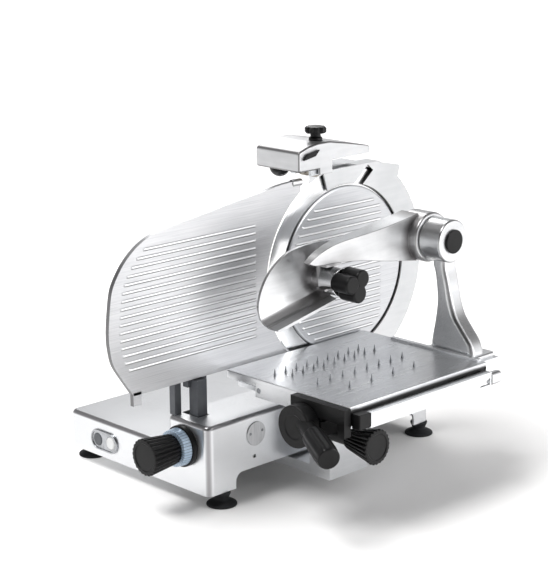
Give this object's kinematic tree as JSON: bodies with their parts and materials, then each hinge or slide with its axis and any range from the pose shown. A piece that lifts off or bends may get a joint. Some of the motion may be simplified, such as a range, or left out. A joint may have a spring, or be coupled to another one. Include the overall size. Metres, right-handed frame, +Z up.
{
  "type": "meat slicer",
  "caption": "Vertical straight-feed meat slicer: upright round blade with ribbed cover and gauge plate, sliding spiked table, press arm on a swan-neck column, hand crank feed and top sharpener.",
  "frame": {"origin": "middle of the bounding box in X and Y, on the plane of the four foot soles", "axes": "+X from the blade plane towards the operator's right, the side of the sliding table; +Y away from the operator, along the carriage travel; +Z up"},
  "size_m": [0.6286, 0.703, 0.5743],
  "materials": {
    "cast_aluminium": "bright satin anodised casting",
    "brushed_aluminium": "horizontally brushed",
    "polished_steel": "mirror ground",
    "steel": "turned",
    "chrome": "polished",
    "black_plastic": "fine matt",
    "rubber": "matt",
    "dark_iron": "painted dark",
    "blue_plastic": "pale blue satin",
    "white_plastic": "glossy",
    "abrasive": "gritty grinding stone"
  },
  "bodies": {
    "frame": {"base_housing": "cast_aluminium", "floor_cover": "steel", "foot_1": "rubber", "foot_2": "rubber", "foot_3": "rubber", "foot_4": "rubber", "switch_bezel": "steel", "blank_plate": "brushed_aluminium", "motor": "dark_iron", "drive_belt": "rubber", "blade_bearing": "steel", "blade_cover": "brushed_aluminium", "cover_knob": "black_plastic", "blade_stand": "cast_aluminium", "stand_cover": "brushed_aluminium", "ring_guard": "cast_aluminium", "sharpener_housing": "cast_aluminium", "sharpener_latch": "black_plastic", "gauge_post": "dark_iron", "gauge_guide_bar": "steel", "dial_disc": "black_plastic", "slide_rod": "chrome", "side_rod": "chrome"},
    "off_button": {"button_off": "black_plastic"},
    "on_button": {"button_on": "white_plastic"},
    "blade_unit": {"blade": "polished_steel", "blade_shaft": "steel", "blade_pulley": "steel"},
    "motor_wheel": {"motor_pulley": "steel"},
    "stone_unit": {"stone_holder": "steel"},
    "grinding_wheel": {"grinding_stone": "abrasive"},
    "deburring_wheel": {"deburring_stone": "abrasive"},
    "sharpener_screw": {"sharpener_knob": "black_plastic"},
    "sharpener_stop": {"sharpener_stop_knob": "black_plastic"},
    "gauge": {"gauge_plate": "brushed_aluminium", "gauge_bracket": "dark_iron"},
    "dial": {"thickness_knob": "black_plastic", "dial_ring": "blue_plastic"},
    "carriage": {"carriage_arm": "cast_aluminium", "carriage_plate": "cast_aluminium", "feed_rod_near": "chrome", "feed_rod_far": "chrome", "lock_block": "cast_aluminium", "crank_bracket": "black_plastic"},
    "lock": {"lock_knob": "black_plastic"},
    "table": {"product_table": "brushed_aluminium", "feed_rack": "steel", "toothed_strip": "polished_steel", "strip_end_stop": "black_plastic", "strip_end_cap": "cast_aluminium", "column": "cast_aluminium", "pivot_pin": "steel", "pivot_cap": "black_plastic"},
    "crank": {"crank_hub": "black_plastic", "crank_grip": "black_plastic", "feed_pinion": "steel"},
    "arm": {"press_arm": "cast_aluminium"},
    "press": {"press_head": "cast_aluminium", "head_rod": "chrome"},
    "press_clamp": {"head_knob": "black_plastic"}
  },
  "joints": [
    {"name": "off_press", "type": "slide", "parent": "frame", "child": "off_button", "axis": [0, 1, 0], "range_m": [0, 0.0025], "stiffness_N_per_m": 300},
    {"name": "on_press", "type": "slide", "parent": "frame", "child": "on_button", "axis": [0, 1, 0], "range_m": [0, 0.0025], "stiffness_N_per_m": 300},
    {"name": "blade_spin", "type": "hinge", "parent": "frame", "child": "blade_unit", "pos_m": [-0.00825, 0.1565, 0.322], "axis": [1, 0, 0], "continuous": true},
    {"name": "motor_spin", "type": "hinge", "parent": "frame", "child": "motor_wheel", "pos_m": [-0.07625, 0.1565, 0.056], "axis": [1, 0, 0], "continuous": true},
    {"name": "screw_turn", "type": "hinge", "parent": "frame", "child": "sharpener_screw", "pos_m": [-0.00825, 0.0935, 0.558], "axis": [0, 0, 1], "range_deg": [0, 360]},
    {"name": "stone_lower", "type": "slide", "parent": "frame", "child": "stone_unit", "axis": [0, 0, -1], "range_m": [0, 0.01]},
    {"name": "grinding_spin", "type": "hinge", "parent": "stone_unit", "child": "grinding_wheel", "pos_m": [-0.01825, 0.0815, 0.5086], "axis": [1, 0, 0], "continuous": true},
    {"name": "deburring_spin", "type": "hinge", "parent": "stone_unit", "child": "deburring_wheel", "pos_m": [0.00075, 0.0815, 0.5086], "axis": [1, 0, 0], "continuous": true},
    {"name": "stop_turn", "type": "hinge", "parent": "frame", "child": "sharpener_stop", "pos_m": [-0.05825, 0.0595, 0.5], "axis": [0, 0, 1], "range_deg": [0, 90]},
    {"name": "dial_turn", "type": "hinge", "parent": "frame", "child": "dial", "pos_m": [-0.00425, -0.2635, 0.098], "axis": [0, 1, 0], "range_deg": [0, 300]},
    {"name": "gauge_travel", "type": "slide", "parent": "frame", "child": "gauge", "axis": [-1, 0, 0], "range_m": [0, 0.014]},
    {"name": "carriage_travel", "type": "slide", "parent": "frame", "child": "carriage", "axis": [0, 1, 0], "range_m": [-0.1, 0.2]},
    {"name": "lock_turn", "type": "hinge", "parent": "carriage", "child": "lock", "pos_m": [0.19175, -0.0785, 0.135], "axis": [1, 0, 0], "range_deg": [-180, 180]},
    {"name": "table_feed", "type": "slide", "parent": "carriage", "child": "table", "axis": [1, 0, 0], "range_m": [0, 0.15]},
    {"name": "crank_turn", "type": "hinge", "parent": "carriage", "child": "crank", "pos_m": [0.19375, -0.1435, 0.164], "axis": [0, 1, 0], "range_deg": [0, 344]},
    {"name": "arm_lift", "type": "hinge", "parent": "table", "child": "arm", "pos_m": [0.14175, 0.2165, 0.39], "axis": [-1, 0, 0], "range_deg": [-12, 80]},
    {"name": "press_tilt", "type": "hinge", "parent": "arm", "child": "press", "pos_m": [0.08175, 0.0145, 0.347], "axis": [1, 0, 0], "range_deg": [-20, 20]},
    {"name": "press_clamp_turn", "type": "hinge", "parent": "arm", "child": "press_clamp", "pos_m": [0.14175, 0.0145, 0.347], "axis": [1, 0, 0], "range_deg": [-180, 180]}
  ],
  "couplings": [
    {"joint": "motor_spin", "follows": "blade_spin", "ratio": 2.7273},
    {"joint": "screw_turn", "follows": "stone_lower", "rad_per_m": 625},
    {"joint": "dial_turn", "follows": "gauge_travel", "rad_per_m": 373},
    {"joint": "crank_turn", "follows": "table_feed", "rad_per_m": 40}
  ]
}
